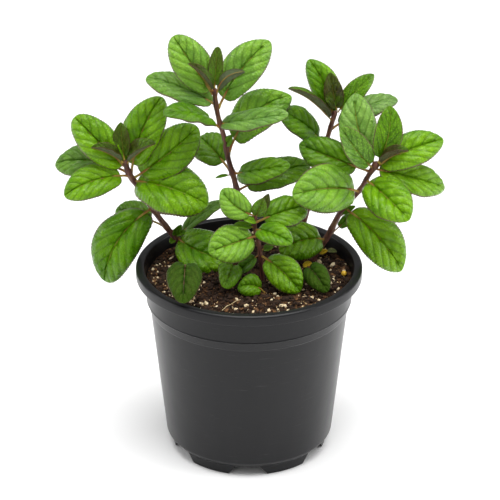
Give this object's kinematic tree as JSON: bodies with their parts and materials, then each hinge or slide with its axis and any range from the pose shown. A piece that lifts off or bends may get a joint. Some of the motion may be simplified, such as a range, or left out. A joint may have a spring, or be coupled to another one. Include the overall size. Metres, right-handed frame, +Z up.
{
  "type": "potted mint plant",
  "caption": "Leafy mint plant rooted in soil in a round black plastic nursery pot, with branching stems of broad veined leaves; it stands on the pot's foot ring.",
  "frame": {"origin": "on the pot's axis, at the bench surface that the pot's foot ring stands on", "axes": "+Z up along the pot's axis, -Y towards the side of the plant seen first, +X to its right"},
  "size_m": [0.2633, 0.152, 0.2884],
  "materials": {
    "pot_plastic": "satin charcoal polypropylene",
    "potting_soil": "loose dark peat and bark with white perlite",
    "stem": "semi-gloss purple-brown green-wood stem",
    "leaf": "semi-gloss quilted green leaf with sunken veins",
    "shaded_leaf": "dull darker green leaf",
    "young_leaf": "glossy young leaf, dark green flushed with purple"
  },
  "bodies": {
    "root": {"back_leaf_1": "leaf", "back_leaf_2": "young_leaf", "back_leaf_3": "young_leaf", "back_leaf_4": "young_leaf", "back_leaf_5": "shaded_leaf", "back_leaf_6": "shaded_leaf", "back_leaf_7": "shaded_leaf", "back_stem": "stem", "front_leaf_1": "leaf", "front_leaf_2": "shaded_leaf", "front_leaf_3": "leaf", "front_leaf_4": "leaf", "front_leaf_5": "leaf", "front_stem": "stem", "ground_leaf_1": "shaded_leaf", "ground_leaf_2": "shaded_leaf", "ground_leaf_3": "shaded_leaf", "ground_leaf_4": "shaded_leaf", "left_leaf_1": "leaf", "left_leaf_10": "leaf", "left_leaf_11": "shaded_leaf", "left_leaf_12": "shaded_leaf", "left_leaf_13": "leaf", "left_leaf_2": "leaf", "left_leaf_3": "young_leaf", "left_leaf_4": "young_leaf", "left_leaf_5": "young_leaf", "left_leaf_6": "leaf", "left_leaf_7": "shaded_leaf", "left_leaf_8": "leaf", "left_leaf_9": "leaf", "left_stem": "stem", "pot": "pot_plastic", "right_leaf_1": "leaf", "right_leaf_10": "shaded_leaf", "right_leaf_11": "leaf", "right_leaf_12": "leaf", "right_leaf_2": "young_leaf", "right_leaf_3": "young_leaf", "right_leaf_4": "young_leaf", "right_leaf_5": "leaf", "right_leaf_6": "leaf", "right_leaf_7": "leaf", "right_leaf_8": "leaf", "right_leaf_9": "shaded_leaf", "right_stem": "stem", "soil": "potting_soil", "tall_leaf_1": "leaf", "tall_leaf_10": "shaded_leaf", "tall_leaf_11": "shaded_leaf", "tall_leaf_12": "shaded_leaf", "tall_leaf_2": "leaf", "tall_leaf_3": "young_leaf", "tall_leaf_4": "young_leaf", "tall_leaf_5": "young_leaf", "tall_leaf_6": "leaf", "tall_leaf_7": "shaded_leaf", "tall_leaf_8": "leaf", "tall_leaf_9": "leaf", "tall_stem": "stem"}
  },
  "joints": []
}
